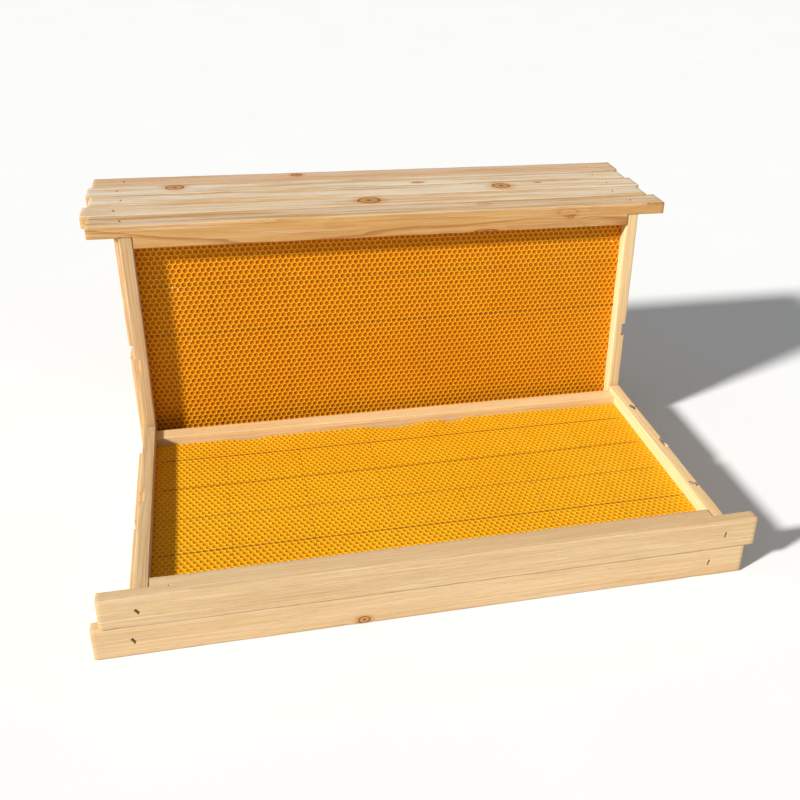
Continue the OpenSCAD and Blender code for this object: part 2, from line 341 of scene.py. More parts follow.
def wood(name, spacing, knots=(), sawn=0.0):
    """Softwood from a mesh's own log coordinates: rings, fibres, resin dashes, knots, bleached streaks."""
    t = Tree(name)
    p = t.attribute("log")["Vector"]
    early = t.attribute("early")["Color"]
    late = t.attribute("late")["Color"]
    boldness, bleach, waviness = t.split(t.attribute("traits")["Vector"])
    end = t.attribute("end_grain")["Fac"]

    # The grain wanders a little, more on some boards
    half = (0.5, 0.5, 0.5)
    far = t.vector("SUBTRACT", t.noise(p, (0.0055, 0.045, 0.045), 1.0, colour=True), half)
    near = t.vector("SUBTRACT", t.noise(p, (0.03, 0.2, 0.2), 2.0, colour=True), half)
    bent = t.vector("ADD", t.vector("MULTIPLY", far, (0, 17, 17)), t.vector("MULTIPLY", near, (0, 1.9, 1.9)))
    q = t.vector("ADD", p, t.scaled(bent, waviness))
    radius = t.vector("LENGTH", t.vector("MULTIPLY", q, (0, 1, 1)))
    bend, nearest, dark = knot_fields(t, p, near, knots)

    # Rings: the part of each that is latewood, bolder in some years
    phase = t.plus(t.math("DIVIDE", radius, spacing), bend)
    phase = t.plus(phase, t.times(t.noise(p, (0.001, 0.02, 0.02), 0.0), 3.0))
    part = t.math("FRACT", phase)
    ring_no = t.node("ShaderNodeTexWhiteNoise", noise_dimensions="1D")
    t.feed(ring_no.inputs["W"], t.math("FLOOR", phase))
    bold = t.linear(t.math("POWER", ring_no.outputs["Value"], 1.6), 0.0, 1.0, (0.22, 1.15))
    latewood = t.times(t.smooth(part, 0.38, 0.93), t.smooth(part, 1.0, 0.95))
    latewood = t.times(latewood, bold)

    patches = t.noise(p, (0.006, 0.07, 0.07), 2.0)
    streaks = t.noise(p, (0.018, 0.8, 0.8), 3.0)
    fibres = t.noise(p, (0.05, 3.0, 3.0), 3.0, 0.6)
    dashes = t.smooth(t.noise(p, (0.09, 5.0, 5.0), 1.0), 0.66, 0.74)
    resin = t.smooth(t.noise(t.vector("ADD", p, (0, 57, 23)), (0.006, 1.25, 1.25), 2.0), 0.60, 0.68)
    painted_sheen = t.smooth(t.noise(t.vector("ADD", p, (0, 11, 71)), (0.008, 1.1, 1.1), 2.0), 0.58, 0.68)

    colour = t.mix(t.times(latewood, boldness), early, late)
    colour = t.mix(t.smooth(patches, 0.35, 0.7, (0.0, 0.35)), colour, late)
    colour = t.mix(t.linear(streaks, 0.3, 0.7, (0.40, 0.0)), colour, STREAK_TINT, "MULTIPLY")
    colour = t.mix(t.linear(fibres, 0.3, 0.7, (0.32, 0.0)), colour, FIBRE_TINT, "MULTIPLY")
    colour = t.mix(t.times(dashes, 0.36), colour, RESIN_DASH)

    # Weathered streaks on a face that lay open, pale, with a few blue-grey flecks
    weather = t.smooth(t.noise(p, (0.008, 0.2, 0.2), 4.0, 0.62), 0.38, 0.58)
    colour = t.mix(t.times(t.times(weather, bleach), 0.8), colour, BLEACHED)
    flecks = t.smooth(t.noise(t.vector("ADD", p, (0, 31, 17)), (0.03, 0.7, 0.7), 3.0), 0.66, 0.76)
    colour = t.mix(t.times(t.times(flecks, bleach), 0.55), colour, FLECK)

    # Thin lines along the grain: resin, and fibres lightened by a painted sheen
    colour = t.mix(t.times(resin, t.times(boldness, 0.55)), colour, RESIN_TINT, "MULTIPLY")
    colour = t.mix(t.times(painted_sheen, 0.30), colour, PAINTED_SHEEN_COLOUR)
    colour, outline = paint_knots(t, colour, nearest, dark)

    # End grain: open, darker and rougher, with the rings as arcs
    speck = t.linear(t.noise(p, (0.5, 2.2, 2.2), 3.0), 0.3, 0.7, (0.5, 0.0))
    end_colour = t.mix(speck, t.mix(t.times(latewood, 0.9), early, late), END_SPECK_TINT, "MULTIPLY")
    end_colour = t.mix(0.55, end_colour, END_TINT, "MULTIPLY")
    colour = t.mix(end, colour, end_colour)

    rough = t.linear(fibres, 0.25, 0.75, (0.82, 0.62))
    rough = t.plus(rough, t.times(latewood, -0.06))
    rough = t.plus(rough, t.times(end, 0.1), clamp=True)
    saw = t.math("SINE", t.plus(t.times(t.split(p)[0], 3.3), t.times(t.split(near)[0], 5.0)))
    height = t.plus(t.times(latewood, 0.30), t.times(fibres, 0.75))
    height = t.plus(height, t.times(t.times(saw, sawn), 0.12))
    height = t.plus(height, t.times(dashes, -0.35))
    height = t.plus(height, t.times(outline, -0.8))
    return t.finish(colour, rough, t.bump(height, 0.00022, 0.75), Specular_IOR_Level=0.28)


# Wax on the walls' crowns and in the cells, in the upright frames and in the flat ones: the crowns painted
# lighter and yellower as a painted glow of sunlit walls, the cells painted darker and redder as painted shade
WAX_CROWN_PAINTED_GLOW = ((0.85, 0.45, 0.012), (0.88, 0.50, 0.016))
WAX_FLOOR_PAINTED_SHADE = ((0.53, 0.138, 0.0015), (0.72, 0.29, 0.004))


def beeswax(name):
    """Rolled wax with worn and bloomed places: bright on the walls' crowns as a painted glow, deeper and
    redder in the cells as painted shade.
    """
    t = Tree(name)
    p = t.attribute("wax")["Vector"]
    depth = t.attribute("depth")["Fac"]
    cloud = t.noise(p, (0.012, 0.012, 0.0), 3.0)
    grain = t.noise(p, (1.3, 1.3, 1.3), 3.0)
    mottle = t.noise(p, (0.11, 0.11, 0.05), 2.0)
    batch = t.attribute("batch")["Fac"]
    # Painted light by depth: the crowns' painted glow fades into the cells' painted shade
    colour = t.mix(t.smooth(depth, 0.05, 0.55), t.mix(batch, *WAX_CROWN_PAINTED_GLOW), t.mix(batch, *WAX_FLOOR_PAINTED_SHADE))
    colour = t.mix(t.smooth(cloud, 0.65, 0.35, (0.0, 0.5)), colour, (0.93, 0.86, 0.75), "MULTIPLY")
    colour = t.mix(t.linear(mottle, 0.3, 0.7, (0.20, 0.0)), colour, (0.82, 0.66, 0.4), "MULTIPLY")
    rough = t.linear(grain, 0.3, 0.7, (0.42, 0.60))
    bump = t.bump(t.plus(t.times(grain, 0.6), t.times(mottle, 0.8)), 0.00012, 0.6)
    return t.finish(colour, rough, bump, Specular_IOR_Level=0.3, Specular_Tint=(1.0, 0.85, 0.35))


def wax_crumb(name):
    """Pale, matt wax of a torn crumb."""
    t = Tree(name)
    p = t.attribute("wax")["Vector"]
    grain = t.noise(p, (2.0, 2.0, 2.0), 3.0)
    colour = t.mix(grain, (0.90, 0.84, 0.66), (0.82, 0.66, 0.34))
    rough = t.linear(grain, 0.3, 0.7, (0.5, 0.7))
    return t.finish(colour, rough, t.bump(grain, 0.0001, 0.5), Specular_IOR_Level=0.3)


STAINED = ((0.36, 0.165, 0.03), (0.21, 0.085, 0.014))


def metal(name, bright, dull, rough, metallic):
    """Drawn steel wire with a dull film and darker spots, stained brown where it lies in the wax."""
    t = Tree(name)
    p = t.node("ShaderNodeNewGeometry").outputs["Position"]
    film = t.noise(p, (90.0, 90.0, 90.0), 3.0)
    scratch = t.noise(p, (900.0, 900.0, 900.0), 2.0)
    spots = t.smooth(film, 0.35, 0.68)
    colour = t.mix(t.attribute("waxed")["Fac"], t.mix(spots, bright, dull), t.mix(spots, *STAINED))
    roughness = t.linear(scratch, 0.3, 0.7, (rough - 0.08, rough + 0.14))
    return t.finish(colour, roughness, t.bump(scratch, 0.00004, 0.5), Metallic=metallic)


TOP_WOOD = wood("pine_top_bars", 2.7, KNOTS)
SIDE_WOOD = wood("pine_side_bars", 2.3)
BOTTOM_WOOD = wood("pine_bottom_bars", 2.4, sawn=1.0)
WAX = beeswax("beeswax")
CRUMB = wax_crumb("wax_crumbs")
WIRE = metal("wire", (0.42, 0.37, 0.30), (0.22, 0.17, 0.12), 0.5, 0.25)
# Staple steel painted nearly black: painted shade of the joint staples' sunk pockets, which the wire staples
# share
STAPLE_SHADE_PAINTED = metal("staples", (0.17, 0.145, 0.12), (0.05, 0.035, 0.028), 0.42, 0.8)
# Material slot, material, and the angle in degrees from which an edge is sharp
SLOTS = {
    "top_bar": ("pine_top_bars", TOP_WOOD, 35),
    "left_side_bar": ("pine_side_bars", SIDE_WOOD, 35),
    "right_side_bar": ("pine_side_bars", SIDE_WOOD, 35),
    "bottom_bar": ("pine_bottom_bars", BOTTOM_WOOD, 35),
    "foundation": ("beeswax", WAX, 50),
    "wires": ("wire", WIRE, 60),
    "joint_staples": ("staples", STAPLE_SHADE_PAINTED, 40),
    "wire_staples": ("staples", STAPLE_SHADE_PAINTED, 40),
}


def settle(mesh, name, piece):
    """Makes a mesh in a frame's own millimetres into the shown piece for that CAD node."""
    mesh.transform(PLACE[name])
    mesh.polygons.foreach_set("use_smooth", np.ones(len(mesh.polygons), bool))
    mesh.set_sharp_from_angle(angle=math.radians(SLOTS[piece][2]))
    made = bpy.data.objects.new(f"{name}_{piece}_detail", mesh)
    scene.collection.objects.link(made)
    if not mesh.materials:
        mesh.materials.append(SLOTS[piece][1])
    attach(made, name)
    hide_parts(f"{name}_{piece}")


def make_mesh(name, points, faces):
    """A mesh from points and faces."""
    mesh = bpy.data.meshes.new(name)
    mesh.from_pydata(points, [], faces)
    return mesh


SHAPES = {"FLOAT": "value", "FLOAT_VECTOR": "vector", "FLOAT_COLOR": "color"}


def store(mesh, name, kind, values, domain="POINT"):
    """Gives a mesh numbers that its material reads."""
    data = mesh.attributes.new(name, kind, domain).data
    data.foreach_set(SHAPES[kind], np.asarray(values, np.float32).ravel())


def join_meshes(parts):
    """One (points, faces) from several."""
    points, faces, start = [], [], 0
    for more_points, more_faces in parts:
        points.extend(tuple(p) for p in more_points)
        faces.extend(tuple(i + start for i in f) for f in more_faces)
        start += len(more_points)
    return points, faces


# ---------------- boards
ARC = 3  # faces round each arris
LEAST_ARRIS = 0.25  # the sharpest that an arris gets, in mm
WORN_SPOTS = 5  # on each board
UNEVEN = 0.05  # how far a planed face is from flat, in mm
END_ROUND = ((0.0, 0.42), (0.14, 0.16), (0.45, 0.0))  # places in from an end, and the board's inset there
END_CLEAR = 0.7  # no other station comes nearer to an end
SAWN_ARRIS = 0.3  # round a side bar's ends


def section(u0, u1, v0, v1, radii, across, through, groove):
    """The ring of points round a board at one place, counter-clockwise, with rounded arrises."""
    corners = [
        (u0 + radii[0], v0 + radii[0], 180, radii[0]),
        (u1 - radii[1], v0 + radii[1], 270, radii[1]),
        (u1 - radii[2], v1 - radii[2], 0, radii[2]),
        (u0 + radii[3], v1 - radii[3], 90, radii[3]),
    ]
    ring = []
    for k, (cu, cv, start, r) in enumerate(corners):
        for j in range(ARC + 1):
            a = math.radians(start + 90 * j / ARC)
            ring.append((cu + r * math.cos(a), cv + r * math.sin(a)))
        nu, nv, nstart, nr = corners[(k + 1) % 4]
        first = ring[-1]
        last = (nu + nr * math.cos(math.radians(nstart)), nv + nr * math.sin(math.radians(nstart)))
        if k == 0 and groove is not None:
            g0, g1, deep = groove
            ring += [((first[0] + g0) / 2, v0), (g0, v0), (g0, v0 + deep)]
            ring += [(g1, v0 + deep), (g1, v0), ((last[0] + g1) / 2, v0)]
            continue
        count = across if k % 2 == 0 else through
        du, dv = last[0] - first[0], last[1] - first[1]
        for i in range(1, count + 1):
            ring.append((first[0] + du * i / (count + 1), first[1] + dv * i / (count + 1)))
    return ring


def stretch(a, b, step):
    """Places from a to b, about a step apart, both ends in."""
    count = max(1, round((b - a) / step))
    return [a + (b - a) * i / count for i in range(count + 1)]


def loft(stations, seed, radius, across, through, grooved, dents):
    """A worn, slightly bowed board from stations (place, u0, u1, v0, v1, inset, groove depth)."""
    n = pick(seed)
    first, last = stations[0][0], stations[-1][0]
    bow_u, bow_v = 0.35 * (n[0] - 0.5), 0.3 * (n[1] - 0.5)
    worn = []  # arris, place, length and depth of each worn spot
    for k in range(WORN_SPOTS):
        m = pick(seed + 50 + k)
        worn.append((int(4 * m[0]), first + (last - first) * m[1], 1.5 + 4 * m[2], 0.25 + 0.5 * m[3]))
    points, faces, rings = [], [], []
    for s, u0, u1, v0, v1, inset, deep in stations:
        radii = []
        for k in range(4):
            r = radius * (1 + 0.35 * wobble(s, seed + k * 0.37, 22) + 0.2 * wobble(s, seed + k * 0.37 + 9, 6))
            for corner, place, length, depth in worn + dents:
                if corner == k:
                    r += depth * math.exp(-(((s - place) / length) ** 2))
            radii.append(max(LEAST_ARRIS, r))
        groove = (GROOVE[0], GROOVE[1], deep) if grooved else None
        ring = section(u0 + inset, u1 - inset, v0 + inset, v1 - inset, radii, across, through, groove)
        share = math.sin(math.pi * (s - first) / (last - first))
        cu, cv = (u0 + u1) / 2, (v0 + v1) / 2
        rings.append(range(len(points), len(points) + len(ring)))
        for u, v in ring:
            uneven = UNEVEN * noise.noise(Vector((s / 17, u / 6 + seed, v / 6)))
            out_u, out_v = (1 if u > cu else -1), (1 if v > cv else -1)
            points.append((s, u + bow_u * share + uneven * out_u, v + bow_v * share + uneven * out_v))
    count = len(rings[0])
    for a, b in zip(rings, rings[1:]):
        faces += [(a[j], a[(j + 1) % count], b[(j + 1) % count], b[j]) for j in range(count)]
    faces.append(tuple(reversed(rings[0])))
    faces.append(tuple(rings[-1]))
    return points, faces


def rounded(places, start=None, stop=None):
    """Stations (place, inset) for a stretch of board, with a rounded end at start, at stop or at both."""
    after = -math.inf if start is None else start + END_CLEAR
    before = math.inf if stop is None else stop - END_CLEAR
    stations = [] if start is None else [(start + s, inset) for s, inset in END_ROUND]
    stations += [(s, 0.0) for s in places if after < s < before]
    if stop is not None:
        stations += [(stop - s, inset) for s, inset in reversed(END_ROUND)]
    return stations


def top_bar_shape(name, seed, dents):
    lo, hi = own_box(name, "top_bar")
    right = hi[0]
    seat, body = right - LUG, right - SHOULDER
    lug_low, body_low = H - LUG_T, H - TOP_T
    stations = []
    for a, b, low, deep in (
        (0.0, LUG, lug_low, 0.0),
        (LUG, SHOULDER, SEAT_Z, 0.0),
        (SHOULDER, body, body_low, GROOVE[2]),
        (body, seat, SEAT_Z, 0.0),
        (seat, right, lug_low, 0.0),
    ):
        places = rounded(stretch(a, b, 3.2), 0.0 if a == 0.0 else None, right if b == right else None)
        stations += [(s, lo[1], hi[1], low, hi[2], inset, deep) for s, inset in places]
    return loft(stations, seed, 0.85, 5, 3, True, dents)


def side_bar_shape(name, piece, seed, dents):
    lo, hi = own_box(name, piece)
    left = "left" in piece
    stations = []
    for a, b, cut in ((lo[2], NOTCH[0], 0.0), NOTCH, (NOTCH[1], hi[2], 0.0)):
        places = [(s, 0.0) for s in stretch(a, b, 3.4)]
        if a == lo[2]:
            places = [(a, SAWN_ARRIS), (a + SAWN_ARRIS, 0.0)] + places[1:]
        if b == hi[2]:
            places = places[:-1] + [(b - SAWN_ARRIS, 0.0), (b, SAWN_ARRIS)]
        u0, u1 = (lo[0] + cut, hi[0]) if left else (lo[0], hi[0] - cut)
        stations += [(s, u0, u1, lo[1], hi[1], inset, 0.0) for s, inset in places]
    return loft(stations, seed, 0.7, 3, 5, False, dents)


def bottom_bar_shape(name, seed, dents):
    lo, hi = own_box(name, "bottom_bar")
    places = rounded(stretch(lo[0], hi[0], 3.6), lo[0], hi[0])
    stations = [(s, lo[1], hi[1], lo[2], hi[2], inset, 0.0) for s, inset in places]
    return loft(stations, seed, 0.6, 4, 4, False, dents)


def block(centre, size, turn=(0, 0, 0), taper=1.0):
    """A closed box, turned about its centre, its lower face smaller by taper."""
    rot = Euler([math.radians(a) for a in turn]).to_matrix()
    points = []
    for k in (-1, 1):
        share = taper if k < 0 else 1.0
        for i, j in ((-1, -1), (1, -1), (1, 1), (-1, 1)):
            out = Vector((i * size[0] / 2 * share, j * size[1] / 2 * share, k * size[2] / 2))
            points.append(tuple(Vector(centre) + rot @ out))
    return points, [(3, 2, 1, 0), (4, 5, 6, 7), (0, 1, 5, 4), (1, 2, 6, 5), (2, 3, 7, 6), (3, 0, 4, 7)]


def rod(centre, length, radius, sides=14):
    """A closed round rod for cutting, along X, a little out of round."""
    points = []
    for k in (-0.5, 0.5):
        for j in range(sides):
            a = 2 * math.pi * j / sides
            r = radius * (1 + 0.05 * math.sin(3 * a + k + centre[2]))
            points.append((centre[0] + k * length, centre[1] + r * math.cos(a), centre[2] + r * math.sin(a)))
    faces = [(j, (j + 1) % sides, sides + (j + 1) % sides, sides + j) for j in range(sides)]
    faces += [tuple(reversed(range(sides))), tuple(range(sides, 2 * sides))]
    return points, faces


# How far each frame's upper joint staples are inside the outer faces of its left and its right side bar
STAPLE_IN = [(3.4, 5), (2, 1.6), (2, 3.2), (2, 3.8), (2.8, 3), (2.2, 3.5), (3.1, 2.6)]


def crown_places(i, right):
    """Where a frame's two upper joint staples are along its top bar, and each one's turn in degrees."""
    return [
        (LUG + STAPLE_IN[i][0], 120 + 6 * math.sin(math.radians(100 * i))),
        (right - LUG - STAPLE_IN[i][1], 77 + 8 * math.sin(math.radians(140 * i))),
    ]


CROWN, CROWN_T, SINK, LEG = 4.6, 1.2, 0.9, 28.0  # a joint staple's crown, thickness, depth in the wood, leg
POCKET = (0.6, 0.9, 0.35)  # how much longer, wider and deeper than the crown its pocket in the wood is

# Worn and chipped arrises: board, then the arris (0 front low, 1 back low, 2 back high, 3 front high), place,
# length and depth of each
DENTS = {
    "upright_1_top_bar": [(3, 140.0, 2.6, 0.9), (3, 473.0, 7.0, 0.5), (0, 320.0, 5.0, 0.8)],
    "flat_upper_top_bar": [(2, 43.0, 2.2, 0.5), (0, 5.0, 3.0, 0.7)],
    "flat_lower_top_bar": [(0, 184.0, 5.0, 0.9)],
}
# Gouges: board, then centre, size and turn of each
GOUGES = {
    "upright_1_left_side_bar": [
        ((LUG + 6.8, -0.2, 1.2), (5.5, 2.2, 3.4), (10, 24, 0)),
        ((LUG + 9.6, -0.1, 9.0), (1.6, 1.2, 7.0), (0, 7, 0)),
    ],
    "flat_upper_top_bar": [
        ((47.5, 25.2, H - 8.1), (3.2, 1.6, 1.3), (0, 12, 8)),
        ((42.0, 25.35, H - 8.6), (9.0, 0.9, 1.1), (3, 6, 2)),
    ],
    "upright_1_top_bar": [((140.0, 3.4, H + 0.2), (5.0, 1.8, 1.1), (0, 5, 8))],
}
# Splinters that stand up from a board: board, then centre, size and turn of each
SPLINTERS = {
    "flat_upper_right_side_bar": [
        ((457.0, 24.7, 112.6), (2.2, 0.8, 5.0), (14, 20, 0)),
        ((455.5, 24.9, 100.4), (1.0, 0.7, 3.6), (-12, -14, 0)),
    ],
}


def bar_mesh(name, piece):
    """A board's mesh in its frame's own millimetres, before cutting, and the solids that cut it."""
    board = f"{name}_{piece}"
    seed = BOARDS.index(board) + 1
    dents = DENTS.get(board, [])
    cuts = []
    if piece == "top_bar":
        points, faces = top_bar_shape(name, seed, dents)
        right = own_box(name, "top_bar")[1][0]
        size = (CROWN + POCKET[0], CROWN_T + POCKET[1], SINK + 2 * POCKET[2])
        for x, turn in crown_places(FRAMES.index(name), right):
            cuts.append(block((x, MID_Y, H - SINK / 2), size, (0, 0, turn), 0.96))
    elif piece == "bottom_bar":
        points, faces = bottom_bar_shape(name, seed, dents)
    else:
        points, faces = side_bar_shape(name, piece, seed, dents)
        points = [(u, v, s) for s, u, v in points]
        lo, hi = own_box(name, piece)
        middle = (lo[0] + hi[0]) / 2
        front, back, top = SLOT
        cuts.append(block((middle, (front + back) / 2, top / 2 - 5), (20, back - front + 0.1, top + 10.1)))
        cuts += [rod((middle, RUN_Y, z), 16, WIRE_HOLE_R) for z in RUN_Z]
    cuts += [block(*gouge, 0.5) for gouge in GOUGES.get(board, [])]
    mesh = make_mesh(board, points, faces)
    bm = bmesh.new()
    bm.from_mesh(mesh)
    bmesh.ops.remove_doubles(bm, verts=bm.verts, dist=0.002)
    bmesh.ops.dissolve_degenerate(bm, edges=bm.edges, dist=0.002)
    bmesh.ops.recalc_face_normals(bm, faces=bm.faces)
    bm.to_mesh(mesh)
    bm.free()
    return mesh, cuts


def dress(mesh, name, piece):
    """Gives a board its log coordinates, colours and end grain."""
    board = f"{name}_{piece}"
    pith, colours, bold, bleach, wavy = look(board)
    count = len(mesh.vertices)
    co = np.empty(count * 3, np.float32)
    mesh.vertices.foreach_get("co", co)
    co = co.reshape(-1, 3)
    along, u, v = (2, 0, 1) if piece.endswith("side_bar") else (0, 1, 2)
    log = [co[:, along] + BOARD_STEP * BOARDS.index(board), co[:, u] - pith[0], co[:, v] - pith[1]]
    store(mesh, "log", "FLOAT_VECTOR", np.stack(log, 1))
    tint = 1 + 0.05 * (pick(BOARDS.index(board) + 77)[0] - 0.5)
    for key, colour in zip(("early", "late"), colours):
        tinted = np.array([*(min(1.0, c * tint) for c in colour), 1.0], np.float32)
        store(mesh, key, "FLOAT_COLOR", np.tile(tinted, count))
    open_face = np.clip((co[:, 2] - (H - 0.45)) / 0.35, 0, 1) if piece == "top_bar" else np.zeros(count)
    traits = [np.full(count, bold), open_face * bleach, np.full(count, wavy)]
    store(mesh, "traits", "FLOAT_VECTOR", np.stack(traits, 1))
    normals = np.empty(len(mesh.polygons) * 3, np.float32)
    mesh.polygons.foreach_get("normal", normals)
    store(mesh, "end_grain", "FLOAT", np.abs(normals.reshape(-1, 3)[:, along]) > 0.6, "FACE")


def add_solids(mesh, solids):
    """Adds closed solids to a mesh."""
    bm = bmesh.new()
    bm.from_mesh(mesh)
    points, faces = join_meshes(solids)
    added = [bm.verts.new(point) for point in points]
    for face in faces:
        bm.faces.new([added[k] for k in face])
    bm.to_mesh(mesh)
    bm.free()


def build_boards():
    jobs, helpers = [], []
    for name in FRAMES:
        for piece in BARS:
            mesh, cuts = bar_mesh(name, piece)
            made = bpy.data.objects.new("uncut", mesh)
            scene.collection.objects.link(made)
            helpers.append(made)
            if cuts:
                cutter = bpy.data.objects.new("cutter", make_mesh("cutter", *join_meshes(cuts)))
                scene.collection.objects.link(cutter)
                helpers.append(cutter)
                mod = made.modifiers.new("cut", "BOOLEAN")
                mod.operation, mod.solver, mod.object = "DIFFERENCE", "EXACT", cutter
            jobs.append((name, piece, made))
    graph = bpy.context.evaluated_depsgraph_get()
    for name, piece, made in jobs:
        mesh = bpy.data.meshes.new_from_object(made.evaluated_get(graph), depsgraph=graph)
        mesh.name = f"{name}_{piece}_detail"
        splinters = [block(*given, 0.35) for given in SPLINTERS.get(f"{name}_{piece}", [])]
        if splinters:
            add_solids(mesh, splinters)
        dress(mesh, name, piece)
        settle(mesh, name, piece)
    for o in helpers:
        bpy.data.objects.remove(o)


# ---------------- wax sheets
HELD_Z = 215.0  # no sheet bellies at this height, just above its upper edge
# A cell's shape, in shares of its width and depths in mm: the crown's inner edge; the rim, where wall meets
# floor, with its depth at the floor's ridges and between them; the middle's depth
CELL_CROWN = (0.88, 0.08)
CELL_RIM = (0.72, 0.58, 0.48)
CELL_APEX = 0.70


def wave(x, z, seed):
    """How far a wax sheet bellies to the back at a place, in mm: it is held by its wires and its groove."""
    hold = np.clip((HELD_Z - z) / 30, 0, 1)
    a = np.sin(x / 61 + seed * 2.1) * np.sin(z / 37 + seed) * 0.22
    b = np.sin(x / 23 + seed * 5.3 + z / 41) * 0.07
    return (a + b) * hold


def cell_sheet(x0, x1, z0, z1):
    """A wax sheet's embossed front and back, each as points (x, z, depth) and four-sided faces."""
    reach = CELL / math.sqrt(3)
    row_h = CELL * math.sqrt(3) / 2
    sheets = []
    for back in (False, True):
        centres = []
        rows = int((z1 - z0) / row_h) + 4
        for r in range(-2, rows):
            for c in range(-2, int((x1 - x0) / CELL) + 3):
                centres.append((x0 + CELL * (c + 0.5 * (r % 2)), z0 + row_h * r + (reach if back else 0.0)))
        centres = np.array(centres)
        angles = np.radians(90 + 60 * np.arange(6))
        hexagon = np.stack([np.cos(angles), np.sin(angles)], 1) * reach
        # on the front the floor's ridges run to corners 1, 3 and 5, and on the back to 0, 2 and 4
        first = 0 if back else 1
        rim_depth = np.where(np.arange(6) % 2 == first, CELL_RIM[1], CELL_RIM[2])
        count = len(centres)
        outer = centres[:, None, :] + hexagon[None]
        crown = centres[:, None, :] + hexagon[None] * CELL_CROWN[0]
        rim = centres[:, None, :] + hexagon[None] * CELL_RIM[0]
        points = np.concatenate(
            [
                np.concatenate([outer, np.zeros((count, 6, 1))], 2).reshape(-1, 3),
                np.concatenate([crown, np.full((count, 6, 1), CELL_CROWN[1])], 2).reshape(-1, 3),
                np.concatenate([rim, np.tile(rim_depth[None, :, None], (count, 1, 1))], 2).reshape(-1, 3),
                np.concatenate([centres, np.full((count, 1), CELL_APEX)], 1),
            ]
        )
        base = np.arange(count)[:, None] * 6
        k = np.arange(6)[None]
        o, cr, ri = base + k, base + k + count * 6, base + k + count * 12
        o2, cr2, ri2 = (base + (k + 1) % 6 + shift for shift in (0, count * 6, count * 12))
        apex = np.arange(count) + count * 18
        quads = [np.stack([o, o2, cr2, cr], 2).reshape(-1, 4), np.stack([cr, cr2, ri2, ri], 2).reshape(-1, 4)]
        for j in (first, first + 2, first + 4):
            quads.append(np.stack([ri[:, j], ri[:, (j + 1) % 6], ri[:, (j + 2) % 6], apex], 1))
        faces = np.concatenate(quads)
        # one point where cells share a corner
        keys = np.round(points * 1000).astype(np.int64)
        _, keep, inverse = np.unique(keys, axis=0, return_index=True, return_inverse=True)
        sheets.append((points[keep], inverse.reshape(-1)[faces]))
    return sheets


def wax_solid(lo, hi):
    """A closed wax sheet in a frame's own millimetres, cut through its cells: points, depths and faces."""
    bm = bmesh.new()
    depth_layer = bm.verts.layers.float.new("depth")
    for back, (points, faces) in zip((False, True), cell_sheet(lo[0], hi[0], lo[2], hi[2])):
        made = []
        for x, z, depth in points:
            y = hi[1] - depth if back else lo[1] + depth
            v = bm.verts.new((x, y, z))
            v[depth_layer] = depth
            made.append(v)
        for f in faces:
            corners = [made[i] for i in f]
            bm.faces.new(corners[::-1] if back else corners)
    edges = ((0, lo[0], 2, -1), (0, hi[0], 2, 1), (2, lo[2], 0, -1), (2, hi[2], 0, 1))
    for axis, value, _, outward in edges:
        place, normal = [0, 0, 0], [0, 0, 0]
        place[axis], normal[axis] = value, outward
        every = bm.verts[:] + bm.edges[:] + bm.faces[:]
        plane = {"plane_co": place, "plane_no": normal}
        bmesh.ops.bisect_plane(bm, geom=every, dist=0.0001, clear_outer=True, **plane)
    bmesh.ops.remove_doubles(bm, verts=bm.verts, dist=0.003)
    middle = (lo[1] + hi[1]) / 2
    open_verts = {v for e in bm.edges if e.is_boundary for v in e.verts}
    for axis, value, along, _ in edges:
        chain = [v for v in open_verts if abs(v.co[axis] - value) < 0.002]
        front = sorted((v for v in chain if v.co.y < middle), key=lambda v: v.co[along])
        rear = sorted((v for v in chain if v.co.y > middle), key=lambda v: -v.co[along])
        bm.faces.new(front + rear)
    bmesh.ops.recalc_face_normals(bm, faces=bm.faces)
    bmesh.ops.triangulate(bm, faces=[f for f in bm.faces if len(f.verts) > 12])
    bm.verts.index_update()
    points = np.array([v.co for v in bm.verts], np.float32)
    depths = np.array([v[depth_layer] for v in bm.verts], np.float32)
    faces = [tuple(v.index for v in f.verts) for f in bm.faces]
    bm.free()
    return points, depths, faces


# Loose crumbs of wax that cling to a sheet: frame, x, z, size
CRUMBS = [
    ("upright_1", 59.5, 170.5, 1.6), ("upright_1", 63.5, 168.2, 1.3), ("upright_1", 441.0, 190.0, 1.5),
    ("upright_1", 128.0, 196.0, 0.9), ("upright_1", 70.0, 121.0, 1.0), ("upright_1", 300.0, 58.0, 0.7),
    ("flat_upper", 210.0, 96.0, 0.7), ("flat_upper", 330.0, 150.0, 0.6), ("upright_3", 180.0, 120.0, 1.0),
    ("upright_5", 250.0, 80.0, 0.9),
]
# Where the upper flat frame's sheet has drawn back from the bottom bar: x, half length, share
DRAWN = [(238.0, 27.0, 1.0), (291.0, 12.0, 0.9), (112.0, 16.0, 0.5)]
DRAWN_BACK, DRAWN_DOWN = 1.5, 2.2


def crumb(centre, size, seed):
    """A small torn flake of wax."""
    bm = bmesh.new()
    bmesh.ops.create_icosphere(bm, subdivisions=2, radius=size / 2)
    for v in bm.verts:
        v.co *= 1 + 0.5 * noise.noise(v.co * (1.8 / size) + Vector((seed * 3.7, 0, 0)))
        v.co.y *= 0.6
    points = [tuple(v.co + Vector(centre)) for v in bm.verts]
    faces = [tuple(v.index for v in f.verts) for f in bm.faces]
    bm.free()
    return points, faces


